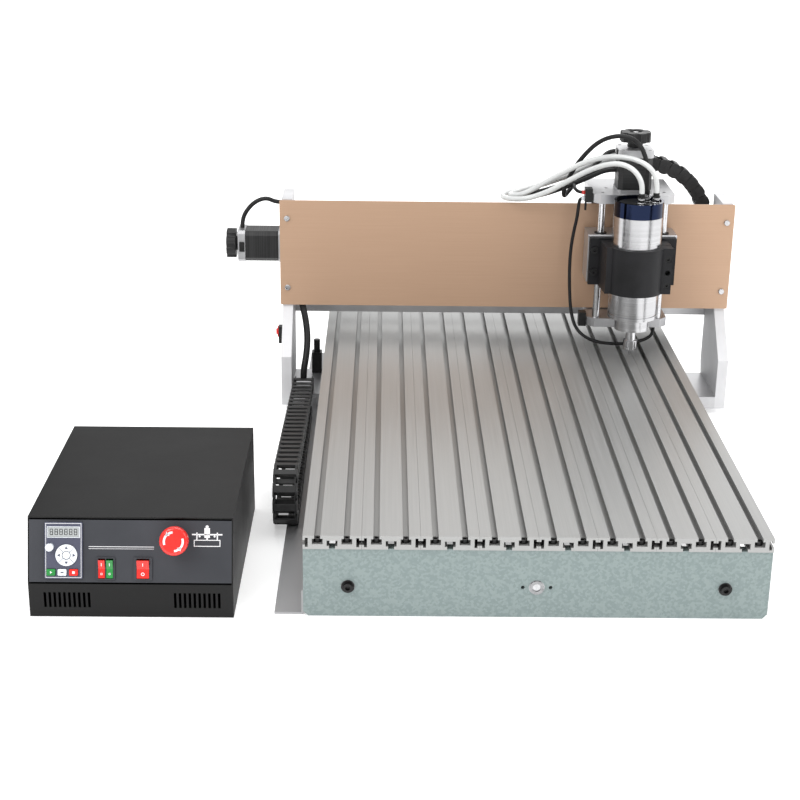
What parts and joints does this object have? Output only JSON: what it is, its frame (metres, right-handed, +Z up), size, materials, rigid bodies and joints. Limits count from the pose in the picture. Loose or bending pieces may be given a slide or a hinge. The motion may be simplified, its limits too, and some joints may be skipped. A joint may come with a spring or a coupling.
{
  "type": "cnc router",
  "caption": "Moving-gantry desktop CNC router with a T-slot bed, lead-screw drives with hand knobs, water-cooled spindle, cable chains and a separate sloping control box.",
  "frame": {"origin": "on the floor at the middle of the front plate's bottom face", "axes": "+X to the right across the bed seen from the front, +Y from the front plate to the rear plate, +Z up"},
  "size_m": [0.839, 0.9248, 0.3926],
  "materials": {
    "slat_aluminium": "satin anodised extrusion",
    "plate_steel": "zinc spangled plate, satin",
    "machined_aluminium": "milled, satin",
    "frosted_aluminium": "bead-blasted, matte",
    "bronze_panel": "brushed bronze film, satin",
    "ground_steel": "ground and polished",
    "screw_steel": "rolled, satin",
    "black_oxide": "black oxide, satin",
    "black_chain": "moulded, matte",
    "motor_black": "semi-gloss",
    "clamp_black": "hard anodised, matte",
    "spindle_steel": "turned and brushed",
    "fitting_chrome": "polished",
    "nut_steel": "polished",
    "cutter_carbide": "ground",
    "knob_black": "moulded, matte",
    "box_black": "fine texture, matte",
    "box_grey": "satin",
    "keypad_blue_grey": "printed film, satin",
    "board_green": "lacquered board",
    "button_red": "glossy",
    "button_green": "glossy",
    "button_white": "glossy",
    "switch_black": "matte",
    "tube_clear": "milky, smooth",
    "cable_black": "satin jacket"
  },
  "bodies": {
    "base": {"front_plate": "plate_steel", "rear_plate": "plate_steel", "table_slats": "slat_aluminium", "y_guide_rods": "ground_steel", "base_screws": "black_oxide", "cable_tray": "plate_steel", "y_screw_bearings": "screw_steel", "y_motor": "motor_black", "y_chain": "black_chain", "controller_chassis": "box_black", "controller_shell": "box_black", "controller_front": "box_grey", "keypad_plate": "keypad_blue_grey", "controller_board": "board_green"},
    "gantry": {"side_plate_left": "frosted_aluminium", "side_plate_right": "frosted_aluminium", "crossbar": "machined_aluminium", "cover_panel": "bronze_panel", "cover_screws": "screw_steel", "x_guide_rods": "ground_steel", "y_bearing_blocks": "machined_aluminium", "x_motor": "motor_black", "rear_beam": "machined_aluminium", "x_chain": "black_chain", "gantry_switches": "switch_black", "chain_wires": "cable_black", "x_motor_cable": "cable_black"},
    "x_carriage": {"carriage_block": "machined_aluminium", "z_top_plate": "machined_aluminium", "z_bottom_plate": "machined_aluminium", "z_guide_rods": "ground_steel", "z_motor": "motor_black", "z_switches": "switch_black", "chain_bracket": "machined_aluminium", "switch_harness": "cable_black", "coolant_tubes": "tube_clear", "spindle_cable": "cable_black"},
    "z_carriage": {"slide_block": "machined_aluminium", "spindle_clamp": "clamp_black", "clamp_screws": "black_oxide", "spindle_body": "spindle_steel", "tube_fittings": "fitting_chrome"},
    "spindle_rotor": {"spindle_shaft": "ground_steel", "collet_nut": "nut_steel", "cutter_bit": "cutter_carbide"},
    "y_screw_body": {"y_screw": "screw_steel"},
    "x_screw_body": {"x_screw": "screw_steel", "x_knob": "knob_black"},
    "z_screw_body": {"z_screw": "screw_steel", "z_knob": "knob_black"},
    "estop_body": {"estop_button": "button_red"},
    "power_rocker_body": {"power_rocker": "button_red"},
    "pump_rocker_body": {"pump_rocker": "button_red"},
    "spindle_rocker_body": {"spindle_rocker": "button_green"},
    "speed_knob_body": {"speed_knob": "button_white"},
    "arrow_pad_body": {"arrow_pad": "button_white"},
    "centre_key_body": {"centre_key": "button_white"},
    "start_key_body": {"start_key": "button_green"},
    "mode_key_body": {"mode_key": "button_white"},
    "stop_key_body": {"stop_key": "button_red"}
  },
  "joints": [
    {"name": "y_travel", "type": "slide", "parent": "base", "child": "gantry", "axis": [0, 1, 0], "range_m": [-0.505, 0.095], "deforming": ["y_chain"]},
    {"name": "y_screw_turn", "type": "hinge", "parent": "base", "child": "y_screw_body", "pos_m": [0, 0, 0.034], "axis": [0, 1, 0], "range_deg": [-37000, 7500]},
    {"name": "x_travel", "type": "slide", "parent": "gantry", "child": "x_carriage", "axis": [1, 0, 0], "range_m": [-0.367, 0.033], "deforming": ["x_chain"]},
    {"name": "x_screw_turn", "type": "hinge", "parent": "gantry", "child": "x_screw_body", "pos_m": [0, 0.682, 0.2165], "axis": [1, 0, 0], "range_deg": [-27000, 3000]},
    {"name": "z_travel", "type": "slide", "parent": "x_carriage", "child": "z_carriage", "axis": [0, 0, 1], "range_m": [-0.005, 0.04], "deforming": ["coolant_tubes", "spindle_cable"]},
    {"name": "z_screw_turn", "type": "hinge", "parent": "x_carriage", "child": "z_screw_body", "pos_m": [0.173, 0.626, 0.2165], "axis": [0, 0, 1], "range_deg": [-400, 3000]},
    {"name": "spindle_spin", "type": "hinge", "parent": "z_carriage", "child": "spindle_rotor", "pos_m": [0.173, 0.562, 0.13], "axis": [0, 0, 1], "continuous": true},
    {"name": "estop_press", "type": "slide", "parent": "base", "child": "estop_body", "axis": [0, 0.9558, -0.2941], "range_m": [0, 0.004]},
    {"name": "power_rocker_tip", "type": "hinge", "parent": "base", "child": "power_rocker_body", "pos_m": [-0.4026, -0.00726, 0.05255], "axis": [1, 0, 0], "range_deg": [-14, 0]},
    {"name": "pump_rocker_tip", "type": "hinge", "parent": "base", "child": "pump_rocker_body", "pos_m": [-0.4446, -0.00726, 0.05255], "axis": [1, 0, 0], "range_deg": [-14, 0]},
    {"name": "spindle_rocker_tip", "type": "hinge", "parent": "base", "child": "spindle_rocker_body", "pos_m": [-0.4364, -0.00726, 0.05255], "axis": [1, 0, 0], "range_deg": [-14, 0]},
    {"name": "speed_knob_turn", "type": "hinge", "parent": "base", "child": "speed_knob_body", "pos_m": [-0.4968, -0.001, 0.07375], "axis": [0, -0.9558, 0.2941], "range_deg": [-150, 150]},
    {"name": "arrow_pad_press", "type": "slide", "parent": "base", "child": "arrow_pad_body", "axis": [0, 0.9558, -0.2941], "range_m": [0, 0.0008], "stiffness_N_per_m": 1500, "springref_m": -0.0002},
    {"name": "centre_key_press", "type": "slide", "parent": "base", "child": "centre_key_body", "axis": [0, 0.9558, -0.2941], "range_m": [0, 0.0008], "stiffness_N_per_m": 1500, "springref_m": -0.0002},
    {"name": "start_key_press", "type": "slide", "parent": "base", "child": "start_key_body", "axis": [0, 0.9558, -0.2941], "range_m": [0, 0.0008], "stiffness_N_per_m": 1500, "springref_m": -0.0002},
    {"name": "mode_key_press", "type": "slide", "parent": "base", "child": "mode_key_body", "axis": [0, 0.9558, -0.2941], "range_m": [0, 0.0008], "stiffness_N_per_m": 1500, "springref_m": -0.0002},
    {"name": "stop_key_press", "type": "slide", "parent": "base", "child": "stop_key_body", "axis": [0, 0.9558, -0.2941], "range_m": [0, 0.0008], "stiffness_N_per_m": 1500, "springref_m": -0.0002}
  ],
  "couplings": [
    {"joint": "y_screw_turn", "follows": "y_travel", "rad_per_m": 1256.6},
    {"joint": "x_screw_turn", "follows": "x_travel", "rad_per_m": 1256.6},
    {"joint": "z_screw_turn", "follows": "z_travel", "rad_per_m": 1256.6}
  ]
}
